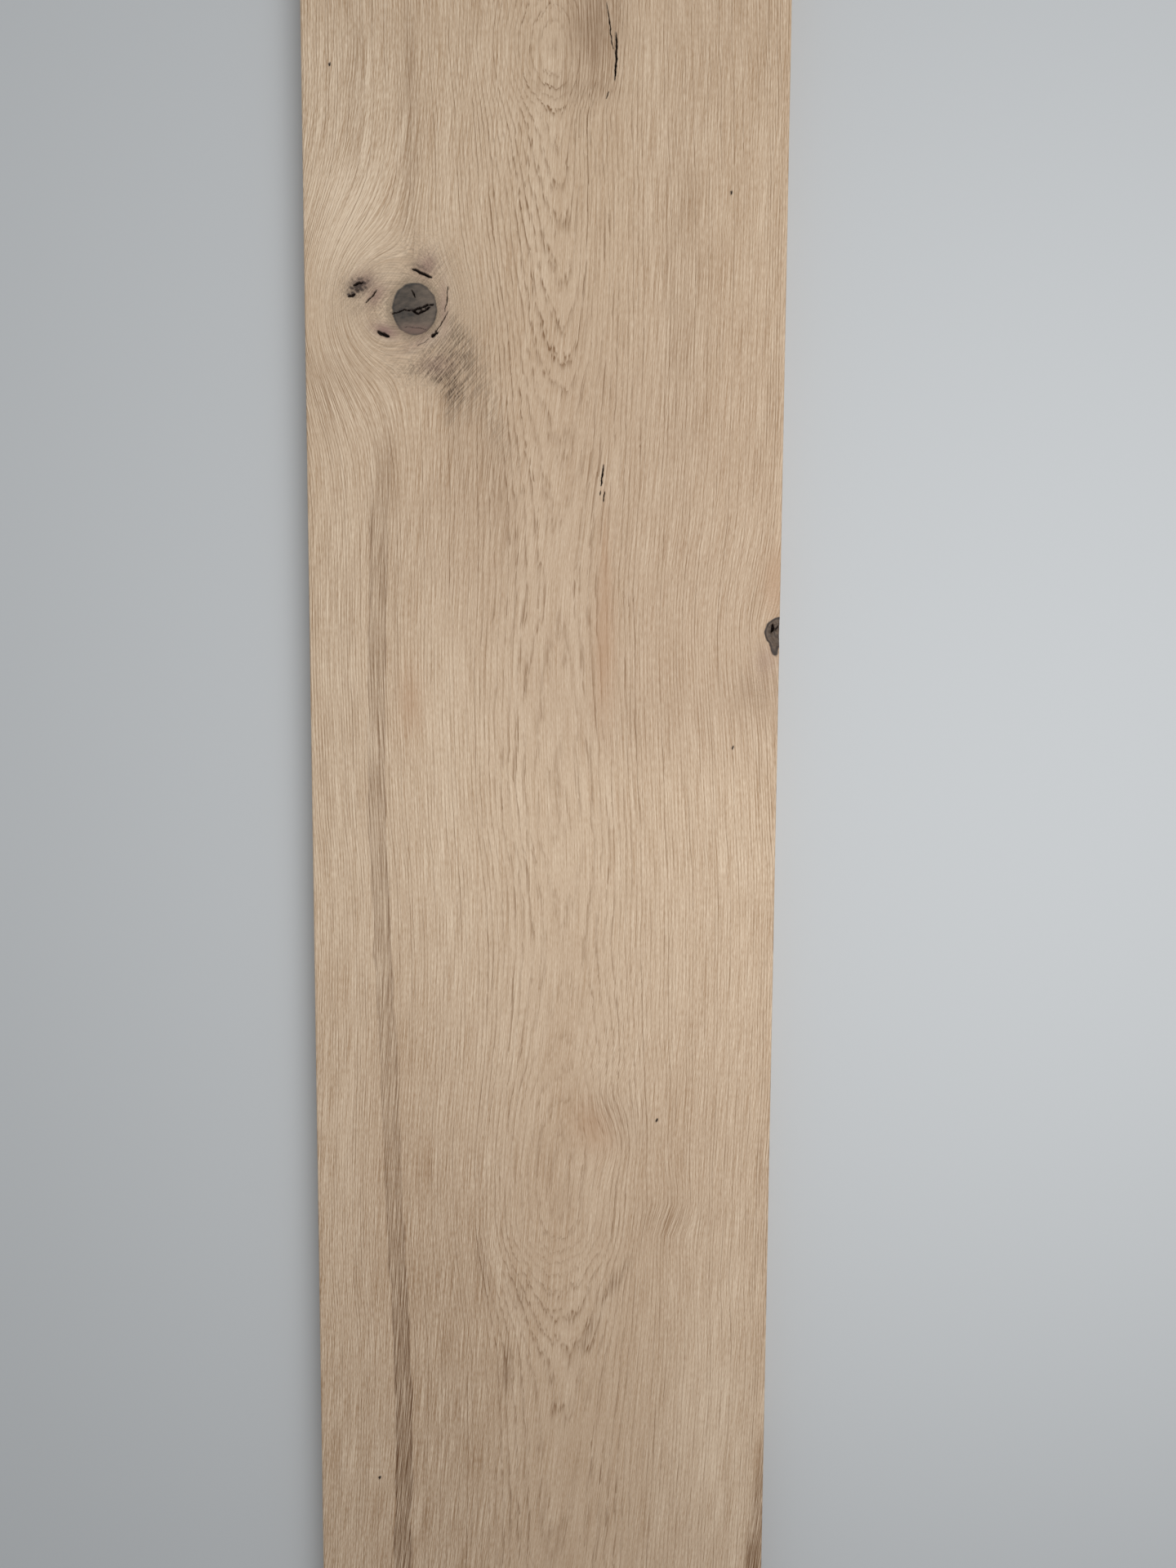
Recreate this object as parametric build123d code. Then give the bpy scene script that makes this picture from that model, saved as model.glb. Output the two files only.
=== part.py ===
"""A square-edged oak plank: one planed board with eased arrises, its knots and its drying checks.

Millimetres. X runs across the width, Y along the grain and Z up. The origin is the middle of the underside,
so the plank lies on Z = 0 with its best face up.
"""

import os
from typing import NamedTuple

from build123d import *

# Planed stock
LENGTH = 2000.0
WIDTH = 220.0
THICKNESS = 20.0
ARRIS_RADIUS = 1.0  # rounding of the four long edges

# Round knot in the face, with its heart's check and the pockets of bark around it
KNOT_FROM_LEFT_EDGE = 50.3
KNOT_ALONG = 238.8  # from the plank's middle
KNOT_CHECK_DEPTH = 5.0
KNOT_POCKET_DEPTH = 3.0

# Knot that the saw cut through on the right edge: a torn dish with a hole in its heart
EDGE_KNOT_ALONG = 93.0
EDGE_KNOT_REACH = 6.8  # inwards from the edge
EDGE_KNOT_LENGTH = 16.5
EDGE_KNOT_DEPTH = 1.2
EDGE_HEART_FROM_EDGE = 3.5
EDGE_HEART_ABOVE = 2.0  # towards +Y from the knot's middle
EDGE_HEART_LENGTH = 3.4
EDGE_HEART_WIDTH = 1.8
EDGE_HEART_DEPTH = 4.0

# Drying checks beside the board's middle line
CHECKS_FROM_RIGHT_EDGE = 80.0
LONG_CHECK_ALONG = 354.5
SHORT_CHECK_ALONG = 162.0
DRYING_CHECK_DEPTH = 6.0

# A check closes as it goes down: its floor is this share of its opening on the face
CHECK_FLOOR_SHARE = 0.55


class Check(NamedTuple):
    """A split with two sharp ends, given from the spot on the face that it belongs to."""

    start: tuple
    end: tuple
    opening: float


class Pocket(NamedTuple):
    """A bowl left by loose bark, given by its middle, its two axes and the turn of the long one."""

    middle: tuple
    long_axis: float
    short_axis: float
    turn: float


# Across the knot's heart, then a short one above it
KNOT_HEART_CHECKS = [
    Check(start=(-10.0, -2.0), end=(-0.4, -0.5), opening=1.0),
    Check(start=(-0.8, -0.7), end=(8.8, 1.8), opening=1.5),
    Check(start=(-0.9, 8.3), end=(0.6, 5.0), opening=0.6),
]
# The shake that follows the knot's outer ring, from its right side to below it
KNOT_RING_CHECKS = [
    Check(start=(15.2, 9.5), end=(13.9, -1.2), opening=0.6),
    Check(start=(15.0, -1.8), end=(10.2, -9.2), opening=0.6),
    Check(start=(10.6, -9.6), end=(7.6, -12.0), opening=1.6),
]
# Splits in the bark that is shut in above the knot and to its left
KNOT_BARK_CHECKS = [
    Check(start=(-0.8, 17.2), end=(8.2, 13.9), opening=1.5),
    Check(start=(-22.2, 2.7), end=(-17.2, 8.2), opening=0.9),
]
KNOT_POCKETS = [
    Pocket(middle=(-14.0, -11.5), long_axis=6.6, short_axis=2.4, turn=-19.0),
    Pocket(middle=(-25.5, 10.4), long_axis=4.8, short_axis=2.4, turn=14.0),
    Pocket(middle=(-28.6, 5.7), long_axis=3.6, short_axis=1.6, turn=14.0),
]
LONG_CHECKS = [
    Check(start=(-2.8, 17.5), end=(0.2, -2.5), opening=0.5),
    Check(start=(1.5, 4.5), end=(1.1, -15.7), opening=0.9),
]
SHORT_CHECKS = [
    Check(start=(-2.8, 7.3), end=(-3.9, -2.0), opening=0.7),
    Check(start=(-2.4, -4.6), end=(-3.0, -9.2), opening=0.5),
]


def on_face(x, y, below=0.0):
    """A place on the best face, or that far below it."""
    return Pos(x, y, THICKNESS - below)


def kite(check, share):
    """A check's slender outline, shrunk about its middle to a share of its size."""
    middle = (Vector(*check.start) + Vector(*check.end)) / 2
    reach = (Vector(*check.end) - Vector(*check.start)) * (share / 2)
    across = reach.normalized().rotate(Axis.Z, 90) * (check.opening * share / 2)
    return make_face(Polyline(middle - reach, middle + across, middle + reach, middle - across, close=True))


def check_void(x, y, check, depth):
    """The wedge of air in a check, from its opening on the face down to its floor."""
    opening = on_face(x, y) * kite(check, 1.0)
    floor = on_face(x, y, depth) * kite(check, CHECK_FLOOR_SHARE)
    return loft([opening, floor])


def pocket_void(x, y, pocket, depth):
    """The air in a pocket: a ball drawn out to the pocket's axes, half of it above the face."""
    bowl = scale(Sphere(1), by=(pocket.long_axis / 2, pocket.short_axis / 2, depth))
    return on_face(x, y) * Location((*pocket.middle, 0), (0, 0, pocket.turn)) * bowl


def planed_board():
    """The board as it leaves the planer: a rounded section drawn out along the grain."""
    section = RectangleRounded(WIDTH, THICKNESS, ARRIS_RADIUS)
    drawn = extrude(Plane.XZ * section, amount=LENGTH / 2, both=True)
    return Pos(Z=THICKNESS / 2) * drawn


def knot_voids():
    """All that is open in and around the round knot."""
    knot = (-WIDTH / 2 + KNOT_FROM_LEFT_EDGE, KNOT_ALONG)
    checks = KNOT_HEART_CHECKS + KNOT_RING_CHECKS + KNOT_BARK_CHECKS
    voids = [check_void(*knot, check, KNOT_CHECK_DEPTH) for check in checks]
    voids += [pocket_void(*knot, pocket, KNOT_POCKET_DEPTH) for pocket in KNOT_POCKETS]
    return voids


def edge_knot_voids():
    """The torn dish of the cut knot, half of it off the board, and the hole in its heart."""
    edge = (WIDTH / 2, EDGE_KNOT_ALONG)
    dish = Pocket((0, 0), 2 * EDGE_KNOT_REACH, EDGE_KNOT_LENGTH, 0)
    heart = Pocket((-EDGE_HEART_FROM_EDGE, EDGE_HEART_ABOVE), EDGE_HEART_WIDTH, EDGE_HEART_LENGTH, 0)
    return [pocket_void(*edge, dish, EDGE_KNOT_DEPTH), pocket_void(*edge, heart, EDGE_HEART_DEPTH)]


def drying_check_voids():
    """The two broken splits that opened as the board dried."""
    x = WIDTH / 2 - CHECKS_FROM_RIGHT_EDGE
    voids = [check_void(x, LONG_CHECK_ALONG, check, DRYING_CHECK_DEPTH) for check in LONG_CHECKS]
    voids += [check_void(x, SHORT_CHECK_ALONG, check, DRYING_CHECK_DEPTH) for check in SHORT_CHECKS]
    return voids


oak_plank = planed_board() - (knot_voids() + edge_knot_voids() + drying_check_voids())

os.makedirs("parts", exist_ok=True)
export_step(oak_plank, "parts/oak_plank.step")
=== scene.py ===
# %% [markdown]
# # A plank of brushed oak
# The real object is one board, sawn from a log, planed square and brushed. Its shape is almost nothing: a
# long box with eased edges. All its character is in the wood, so most of this lesson grows the wood
# itself: the rings of the log, the grain that parts round a knot, and the splits where the board dried.
# The first cell loads the measured plank, which stays the frame that everything is fitted to.

# %% Load the measured plank
import math
from typing import NamedTuple

import bmesh
import bpy
import numpy as np
from mathutils import Matrix, Vector


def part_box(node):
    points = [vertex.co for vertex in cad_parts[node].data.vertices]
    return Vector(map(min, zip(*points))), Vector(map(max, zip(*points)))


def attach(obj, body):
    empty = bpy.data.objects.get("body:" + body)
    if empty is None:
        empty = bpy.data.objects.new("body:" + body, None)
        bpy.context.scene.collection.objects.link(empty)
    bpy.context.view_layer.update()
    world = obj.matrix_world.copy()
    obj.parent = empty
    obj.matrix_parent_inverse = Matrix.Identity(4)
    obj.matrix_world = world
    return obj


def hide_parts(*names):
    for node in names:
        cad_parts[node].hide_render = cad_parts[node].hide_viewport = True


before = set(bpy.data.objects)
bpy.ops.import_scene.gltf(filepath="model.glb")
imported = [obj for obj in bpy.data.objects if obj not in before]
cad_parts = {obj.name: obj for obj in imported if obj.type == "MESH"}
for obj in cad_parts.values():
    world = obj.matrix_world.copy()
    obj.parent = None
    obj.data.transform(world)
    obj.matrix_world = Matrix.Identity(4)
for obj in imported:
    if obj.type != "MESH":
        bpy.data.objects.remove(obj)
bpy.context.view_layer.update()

MM = 0.001  # one millimetre in Blender's metres
lowest, highest = (np.array(corner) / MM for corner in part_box("oak_plank"))
WIDTH, LENGTH, THICKNESS = highest - lowest
RIGHT_EDGE = WIDTH / 2
print("plank", WIDTH, "x", LENGTH, "x", THICKNESS, "mm")

# %% [markdown]
# ## Camera
# A lens like a phone's main one fits the photograph, nearly square on to the board's face and a hand's
# breadth off its middle. A camera can be aimed with a constraint, but a fitted place and two small angles
# are exact and stay put: the tilt makes the far end of the board a little narrower, and the roll levels
# its edges.

# %% Camera
PHOTO_TALL = 1920  # pixels, the long side of the picture
FOCAL_LENGTH = 1442  # pixels
SENSOR = 36.0  # mm, the long side of a full-frame sensor
EYE_ABOVE_FACE = 554.4  # mm
EYE = Vector((20.75, 70.0, THICKNESS + EYE_ABOVE_FACE)) * MM
TILT = math.radians(-5.0)
ROLL = math.radians(0.32)

camera_data = bpy.data.cameras.new("camera")
camera_data.sensor_width = SENSOR
camera_data.lens = SENSOR * FOCAL_LENGTH / PHOTO_TALL
camera = bpy.data.objects.new("camera", camera_data)
bpy.context.collection.objects.link(camera)
camera.matrix_world = Matrix.Translation(EYE) @ Matrix.Rotation(TILT, 4, "X") @ Matrix.Rotation(ROLL, 4, "Z")
bpy.context.scene.camera = camera
print("lens", round(camera_data.lens, 2), "mm")

# %% [markdown]
# ## Colours and nodes
# Colours are written as the sRGB hex values that a colour picker shows, and Blender's shaders want them
# linear, so one function turns them. A second function adds a node to a tree: its settings come by name,
# and its sockets are filled with plain values or joined to the outputs of earlier nodes.

# %% Colours and nodes
def linear(hex_value):
    """Turn an sRGB hex colour into linear red, green, blue and alpha."""
    shares = [int(hex_value[start:start + 2], 16) / 255 for start in (0, 2, 4)]
    return [s / 12.92 if s <= 0.04045 else ((s + 0.055) / 1.055) ** 2.4 for s in shares] + [1.0]


def add_node(tree, kind, sockets=None, **settings):
    """Add a node with its settings, and fill its sockets with values or with other nodes' outputs."""
    node = tree.nodes.new(kind)
    for name, value in settings.items():
        setattr(node, name, value)
    for socket, value in (sockets or {}).items():
        if isinstance(value, bpy.types.NodeSocket):
            tree.links.new(value, node.inputs[socket])
        else:
            node.inputs[socket].default_value = value
    return node


print("pale oak, linear:", [round(value, 3) for value in linear("bca48b")])

# %% [markdown]
# ## Floor and light
# The board lies on a plain pale floor. A large soft lamp stands to its right and a pale sky fills the
# rest, so that a colour renders about as it is written. A sun lamp would give hard edges to the shadow,
# and the soft box gives the gentle one that a board has indoors.

# %% Floor
FLOOR_SIDE = 14.0  # m
floor_shape = bmesh.new()
bmesh.ops.create_grid(floor_shape, x_segments=1, y_segments=1, size=FLOOR_SIDE / 2)
floor_mesh = bpy.data.meshes.new("floor")
floor_shape.to_mesh(floor_mesh)
floor_shape.free()
floor = bpy.data.objects.new("floor", floor_mesh)
bpy.context.collection.objects.link(floor)

# A matt painted floor: a pale cool grey with no gloss to speak of
floor_paint = bpy.data.materials.new("matt floor paint")
floor_paint.use_nodes = True
floor_shader = floor_paint.node_tree.nodes["Principled BSDF"]
floor_shader.inputs["Base Color"].default_value = linear("cacdcf")
floor_shader.inputs["Roughness"].default_value = 0.85
floor_mesh.materials.append(floor_paint)
print("floor", FLOOR_SIDE, "m square")

# %% Light
SKY_STRENGTH = 0.4
LAMP_PLACE = Vector((0.3, -0.02, 0.77))
LAMP_AIM = Vector((0.18, 0.55, 0.0))
LAMP_SIDE = 0.6  # m
LAMP_POWER = 4.8  # W

sky = bpy.data.worlds.new("sky")
sky.use_nodes = True
sky.node_tree.nodes["Background"].inputs["Color"].default_value = linear("f6f8fa")
sky.node_tree.nodes["Background"].inputs["Strength"].default_value = SKY_STRENGTH
bpy.context.scene.world = sky
bpy.context.scene.view_settings.view_transform = "Standard"

lamp_data = bpy.data.lights.new("soft box", "AREA")
lamp_data.size = LAMP_SIDE
lamp_data.energy = LAMP_POWER
lamp = bpy.data.objects.new("soft box", lamp_data)
bpy.context.collection.objects.link(lamp)
lamp.location = LAMP_PLACE
lamp.rotation_euler = (LAMP_AIM - LAMP_PLACE).to_track_quat("-Z", "Y").to_euler()
lamp.visible_camera = False
print("sky", SKY_STRENGTH, "lamp", LAMP_POWER, "W")

# %% [markdown]
# ## The planed blank
# A planer leaves flat faces, and a light pass with a hand plane takes the sharpness off the four long
# edges. So the blank starts as a cube, stretched to the board's size, with its long edges bevelled. It is
# then cut into a net of small faces, first across and through with planes, then along with one
# subdivision. The net is what lets the next steps open splits in the face and paint the wood's growth on
# its points.

# %% Planed blank
ARRIS_RADIUS = 1.0  # mm, rounding of the long edges
NET_ACROSS = 2.75  # mm between the net's lines across the width
NET_ALONG = 8.0
NET_THROUGH = 3.6


def inner_places(low, high, step):
    """Even places between two ends, about a step apart."""
    return np.linspace(low, high, round((high - low) / step) + 1)[1:-1]


def slice_all(shape, places, direction):
    """Cut a shape with a plane at each place along a direction."""
    for place in places:
        everything = shape.verts[:] + shape.edges[:] + shape.faces[:]
        bmesh.ops.bisect_plane(shape, geom=everything, plane_co=direction * place, plane_no=direction)


def runs_along(edge):
    """True for an edge that runs along the grain."""
    first, last = edge.verts
    return abs(first.co.y - last.co.y) > LENGTH / 2


blank = bmesh.new()
bmesh.ops.create_cube(blank, size=1.0)
bmesh.ops.scale(blank, vec=(WIDTH, LENGTH, THICKNESS), verts=blank.verts)
bmesh.ops.translate(blank, vec=(0, 0, THICKNESS / 2), verts=blank.verts)
bmesh.ops.bevel(
    blank, geom=list(filter(runs_along, blank.edges)), offset=ARRIS_RADIUS,
    segments=4, profile=0.5, affect="EDGES", material=-1,
)
flat_reach = RIGHT_EDGE - ARRIS_RADIUS
slice_all(blank, inner_places(-flat_reach, flat_reach, NET_ACROSS), Vector((1, 0, 0)))
slice_all(blank, inner_places(ARRIS_RADIUS, THICKNESS - ARRIS_RADIUS, NET_THROUGH), Vector((0, 0, 1)))
bmesh.ops.subdivide_edges(
    blank, edges=list(filter(runs_along, blank.edges)), cuts=round(LENGTH / NET_ALONG) - 1,
)
print("blank", len(blank.faces), "faces")

# %% [markdown]
# ## Splits and pockets
# Two knots and a few drying checks break the face. A knot is the foot of a branch: its heart cracks as it
# dries, bark stays caught round it in pockets, and a shake opens between it and the wood that grew past
# it. A check is a split along the grain. Each is written as the line that it follows on the face, its
# widest opening and its depth. They could be cut with booleans, but a split drawn as a line can also
# wander and have ragged lips.

# %% Splits and pockets
KNOT = np.array((-59.7, 238.8))  # heart of the round knot on the face
KNOT_HEART = (10.4, 11.7)  # its half-axes
EDGE_KNOT = np.array((RIGHT_EDGE, 93.0))  # the knot that the saw cut through
EDGE_KNOT_REACH = (7.2, 7.2)
EDGE_TAIL = (-3.5, -4.0)  # middle of its tail, from its own middle
EDGE_TAIL_REACH = (2.3, 7.0)


class Split(NamedTuple):
    """An opening in the face: the line it follows, its widest opening and its depth, in mm."""

    line: list
    opening: float
    depth: float


def beside(centre, *offsets):
    """Places given by their offsets from a centre."""
    return [tuple(centre + np.array(offset)) for offset in offsets]


SPLITS = [
    # The heart's crack, its lower branch, a short ray of it and a hair crack near its lower rim
    Split(beside(KNOT, (-10.4, -2), (-7.7, -1.6), (-4.3, -0.1), (-2.2, -0.7)), 0.7, 4.0),
    Split(beside(KNOT, (-3.5, -0.3), (-0.3, -0.6), (2.6, 0.7), (5.6, 1.7), (8.7, 2.0)), 1.0, 5.0),
    Split(beside(KNOT, (-1.0, -0.9), (1.6, -1.9), (4.6, -0.8), (7.0, 1.0)), 1.1, 3.5),
    Split(beside(KNOT, (2.6, 0.7), (3.2, -1.2)), 0.5, 1.5),
    Split(beside(KNOT, (4.8, 1.4), (5.0, -0.4)), 0.4, 1.5),
    Split(beside(KNOT, (-1.4, 8.6), (0.4, 5.0)), 0.6, 3.0),
    Split(beside(KNOT, (-4.8, -8.0), (0.4, -8.1), (5.2, -8.9)), 0.3, 0.8),
    # The shake round the knot's right side, in two pieces, with a torn hole at its end
    Split(beside(KNOT, (15.2, 9.8), (15.0, 4.7), (13.9, -1.0)), 0.4, 2.0),
    Split(beside(KNOT, (15.2, -1.2), (12.7, -5.8), (10.2, -9.2), (8.9, -11.3)), 0.4, 2.0),
    Split(beside(KNOT, (10.6, -10.4), (8.9, -11.4), (7.6, -12.4)), 1.5, 3.0),
    Split(beside(KNOT, (9.8, -9.4), (9.4, -11.9)), 0.8, 1.5),
    Split(beside(KNOT, (6.8, -13.2), (3.8, -15.0), (1.2, -16.4)), 0.25, 0.6),
    # Bark above the knot, and on its left
    Split(beside(KNOT, (-1.1, 17.6), (1.2, 16.8), (3.4, 15.9), (5.4, 14.7), (8.1, 14.0)), 1.4, 3.0),
    Split(beside(KNOT, (-22.2, 2.7), (-20.0, 4.7), (-17.2, 8.2)), 0.7, 2.5),
    Split(beside(KNOT, (-27.8, 10.3), (-25.8, 11.0), (-23.2, 11.4)), 1.2, 2.5),
    Split(beside(KNOT, (-27.0, 8.8), (-25.2, 8.2)), 0.7, 0.8),
    Split(beside(KNOT, (-30.2, 5.4), (-28.8, 5.6), (-27.0, 6.2)), 1.5, 2.0),
    Split(beside(KNOT, (-17.0, -9.9), (-15.0, -11.2), (-11.6, -12.4)), 1.7, 3.0),
    # The hole in the heart of the edge knot, and the crack that it ran into
    Split(beside(EDGE_KNOT, (-3.2, 4.0), (-3.4, 2.2), (-3.7, 0.2)), 1.5, 4.0),
    Split(beside(EDGE_KNOT, (-0.3, 3.2), (-1.6, 2.0), (-3.2, 1.4)), 0.8, 2.0),
    # Drying checks, right of the board's middle
    Split([(27.2, 372), (28.3, 365), (29.2, 358), (30.2, 352)], 0.42, 4.0),
    Split([(31.3, 359), (31.7, 354.5), (31.6, 348), (31.1, 338.8)], 0.85, 6.0),
    Split([(28.4, 334), (27.2, 331)], 0.35, 2.0),
    Split([(27.2, 169.3), (26.7, 166), (26.2, 162.4), (26.1, 160)], 0.7, 6.0),
    Split([(25.7, 157.6), (25.5, 155.5)], 0.45, 3.0),
    Split([(27.7, 157.3), (27.1, 152.8)], 0.5, 3.0),
]
# Pin knots, as wide as a pencil point
PIN_KNOTS = [(84, 290.5), (-97, 345), (89, 39), (55, -142), (-81, -326)]
for x, y in PIN_KNOTS:
    SPLITS.append(Split([(x - 0.2, y - 0.7), (x + 0.2, y + 0.7)], 0.9, 0.8))
print(len(SPLITS), "splits and pockets")

# %% [markdown]
# The openings are at most two millimetres wide and the net's faces are several, so the net is made finer
# just round them: each pass cuts the faces near a mark into four, and each pass keeps closer to the mark than
# the one before. This costs far fewer faces than a fine net all over.

# %% Finer net round the marks
# Reach of each pass in mm, round a split and round a knot
PASSES = [(24.0, 48.0), (12.0, 38.0), (5.0, 16.0), (2.4, 0.0), (1.2, 0.0)]
FACE_DEPTH = 2.0  # mm below the face that still counts as the face
BARK_SIDE = 6.0  # mm to the left, to the middle of the round knot and its bark together
EDGE_KNOT_SHARE = 0.7  # the edge knot needs less reach


def from_line(x, y, line):
    """Distance from a line of points, and how far along it the nearest place is, from 0 to 1."""
    distance = np.full(x.shape, np.inf)
    share = np.zeros(x.shape)
    steps = np.hypot(*np.diff(np.array(line), axis=0).T)
    passed = 0.0
    for (ax, ay), (bx, by), step in zip(line, line[1:], steps):
        along = np.clip(((x - ax) * (bx - ax) + (y - ay) * (by - ay)) / step ** 2, 0, 1)
        away = np.hypot(x - ax - along * (bx - ax), y - ay - along * (by - ay))
        share = np.where(away < distance, (passed + along * step) / steps.sum(), share)
        distance = np.minimum(distance, away)
        passed += step
    return distance, share


def near_marks(places, split_reach, knot_reach):
    """True for places on the face that are near a split, or near a knot."""
    x, y, z = places.T
    from_split = np.min([from_line(x, y, split.line)[0] for split in SPLITS], axis=0)
    from_knot = np.hypot(x - KNOT[0] + BARK_SIDE, y - KNOT[1])
    from_edge_knot = np.hypot(np.hypot(x - EDGE_KNOT[0], y - EDGE_KNOT[1]), z - THICKNESS)
    on_face = z > THICKNESS - FACE_DEPTH
    near = on_face & ((from_split < split_reach) | (from_knot < knot_reach))
    return near | (from_edge_knot < knot_reach * EDGE_KNOT_SHARE)


def cut_in_four(shape, chosen):
    """Cut each chosen face of a shape into four."""
    edges = {edge for face, wanted in zip(shape.faces, chosen) if wanted for edge in face.edges}
    bmesh.ops.subdivide_edges(shape, edges=list(edges), cuts=1, use_grid_fill=True, use_single_edge=True)


for split_reach, knot_reach in PASSES:
    middles = np.array([face.calc_center_median() for face in blank.faces])
    cut_in_four(blank, near_marks(middles, split_reach, knot_reach))
    print("reach", split_reach, "mm:", len(blank.faces), "faces")
bmesh.ops.triangulate(blank, faces=[face for face in blank.faces if len(face.verts) > 4])

# %% [markdown]
# ## Opening the splits
# A split is widest in its middle and closes to nothing at its ends and at its floor, and its lips are
# ragged. So each point of the net inside an opening sinks by a depth that falls off towards the lips, and
# a slow ripple makes the opening wander. The knot in the edge was torn by the saw, so its whole end is a
# shallow rough dish.

# %% Opening the splits
DISH_DEPTH = 1.2  # mm, at the board's edge
DISH_ROUGHNESS = 0.35
HEART_SINK = 0.25  # a knot's heart shrinks more than the wood round it
LIP = 0.15  # mm, the dark lips of a split, over which its painted shade fades
LIP_FRINGE = 0.8  # mm, a fainter darkening just outside them
FRINGE_DARKNESS = 0.35  # how dark that darkening is
HAIR_SHADE = 0.35  # how dark the painted shade in the finest split is; one a millimetre wide is fully dark
WANDER = 0.16  # mm that a split's line strays, with the humps below
WANDER_HUMPS = (4.1, 4.7)
JITTER = 0.07
JITTER_HUMPS = (1.3, 1.5)
BLUNTNESS = 0.4  # power that shapes a split's ends
RAGGED = 0.3  # share by which its opening varies
RAGGED_HUMP = 3.1  # mm
DISH_HUMP = 2.7  # mm
TOP_SKIN = 0.1  # mm, points this near to the face lie on it
# Turns across, turns along and the start of each wave in a ripple
WAVES = ((0.9, 0.4, 0.0), (0.3, -0.8, 1.9), (0.6, 1.1, 4.2))
WAVES_PEAK = 2.2


def ripple(x, y, length):
    """A smooth uneven wave between about -1 and 1, with humps about a length apart."""
    u, v = x / length * math.tau, y / length * math.tau
    return sum(np.sin(across * u + along * v + start) for across, along, start in WAVES) / WAVES_PEAK


def smooth_step(low, high, value):
    """Rise smoothly from 0 at low to 1 at high."""
    share = np.clip((value - low) / (high - low), 0, 1)
    return share * share * (3 - 2 * share)


def split_depth(x, y):
    """How deep the splits are at each place, and their painted shade, dark inside and fainter just outside,
    from 0 to 1.
    """
    depth = np.zeros(x.shape)
    dark = np.zeros(x.shape)
    wander_x = x + WANDER * ripple(x, y, WANDER_HUMPS[0]) + JITTER * ripple(y, x, JITTER_HUMPS[0])
    wander_y = y + WANDER * ripple(y, x, WANDER_HUMPS[1]) + JITTER * ripple(x, y, JITTER_HUMPS[1])
    for split in SPLITS:
        distance, share = from_line(wander_x, wander_y, split.line)
        # The small term keeps the very ends from closing to nothing
        fullness = (4 * share * (1 - share) + 0.02) ** BLUNTNESS
        half = 0.5 * split.opening * fullness * (1 + RAGGED * ripple(x, y, RAGGED_HUMP))
        depth = np.maximum(depth, split.depth * np.clip(1 - (distance / half) ** 2, 0, 1))
        # Painted shade: the inside of the opening is coloured dark, fading at its lips, with a fainter
        # darkening just outside
        shade = min(1.0, HAIR_SHADE + (1 - HAIR_SHADE) * split.opening)
        dark = np.maximum(dark, shade * (1 - smooth_step(half * 0.8, half + LIP, distance)))
        outside = 1 - smooth_step(half, half + LIP_FRINGE * shade, distance)
        dark = np.maximum(dark, FRINGE_DARKNESS * shade * outside)
    return depth, dark


def edge_dish(x, y):
    """How deep the torn end of the edge knot is at each place."""
    out = np.hypot((x - EDGE_KNOT[0]) / EDGE_KNOT_REACH[0], (y - EDGE_KNOT[1]) / EDGE_KNOT_REACH[1])
    bowl = np.clip(1 - out ** 2, 0, 1)
    rough = DISH_ROUGHNESS * bowl ** 0.5 * ripple(x, y, DISH_HUMP)
    return np.where(out < 1, DISH_DEPTH * bowl + rough, 0).clip(0)


def inside_heart(x, y, centre, reach):
    """How far inside a knot's rim each place is, in mm; less than 0 outside it."""
    return (1 - np.hypot((x - centre[0]) / reach[0], (y - centre[1]) / reach[1])) * min(reach)


places = np.array([vertex.co for vertex in blank.verts])
x, y, z = places.T
on_face = smooth_step(THICKNESS - 3 * FACE_DEPTH, THICKNESS - ARRIS_RADIUS, z)
# The painted shade inside the splits starts this mark; the real bark and smut of the pockets join it below
depth, bark_and_split_shade = split_depth(x, y)
on_top = z > THICKNESS - TOP_SKIN
sunk_heart = HEART_SINK * smooth_step(-0.5, 0.8, inside_heart(x, y, KNOT, KNOT_HEART))
sink = np.where(on_top, depth, 0)
sink = np.maximum(sink, edge_dish(x, y) * on_face)
sink = np.maximum(sink, sunk_heart * on_face)
bark_and_split_shade = bark_and_split_shade * on_top
for vertex, fall in zip(blank.verts, sink):
    vertex.co.z -= fall
print("deepest split", round(sink.max(), 2), "mm")

# %% [markdown]
# The net now becomes the plank's mesh, in metres. It is shaded smooth, so that the rounded edges look round,
# and only sharp folds, such as the lips of the splits, stay edges.

# %% Plank mesh
SHARP = math.radians(38)  # a fold past this angle stays an edge
for edge in blank.edges:
    edge.smooth = edge.calc_face_angle(0) < SHARP
for face in blank.faces:
    face.smooth = True
bmesh.ops.scale(blank, vec=(MM, MM, MM), verts=blank.verts)
plank_mesh = bpy.data.meshes.new("brushed_plank")
blank.to_mesh(plank_mesh)
blank.free()
plank = bpy.data.objects.new("brushed_plank", plank_mesh)
bpy.context.collection.objects.link(plank)
plank_mesh.calc_loop_triangles()
print("plank", len(plank_mesh.loop_triangles), "triangles")

# %% [markdown]
# ## The log inside the board
# The ovals and arches of the figure are growth rings of the tree, cut by the saw. So they aren't drawn: the
# log is. Its pith runs below the board, wandering a little, and a ring's number is the distance from the pith
# over the ring's width. Where the pith comes nearer to the face the rings close into ovals, and where it
# dives they open into the long arches that joiners call a cathedral. The same numbers give the right lines
# on the edges and the ends.

# %% The log's pith
# Distance from the pith in mm, and the tree's age there: a young tree grows faster
GROWTH = np.array([(0, 0), (50, 32), (65, 42.2), (80, 53.7), (100, 69.7), (150, 111)])
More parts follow.
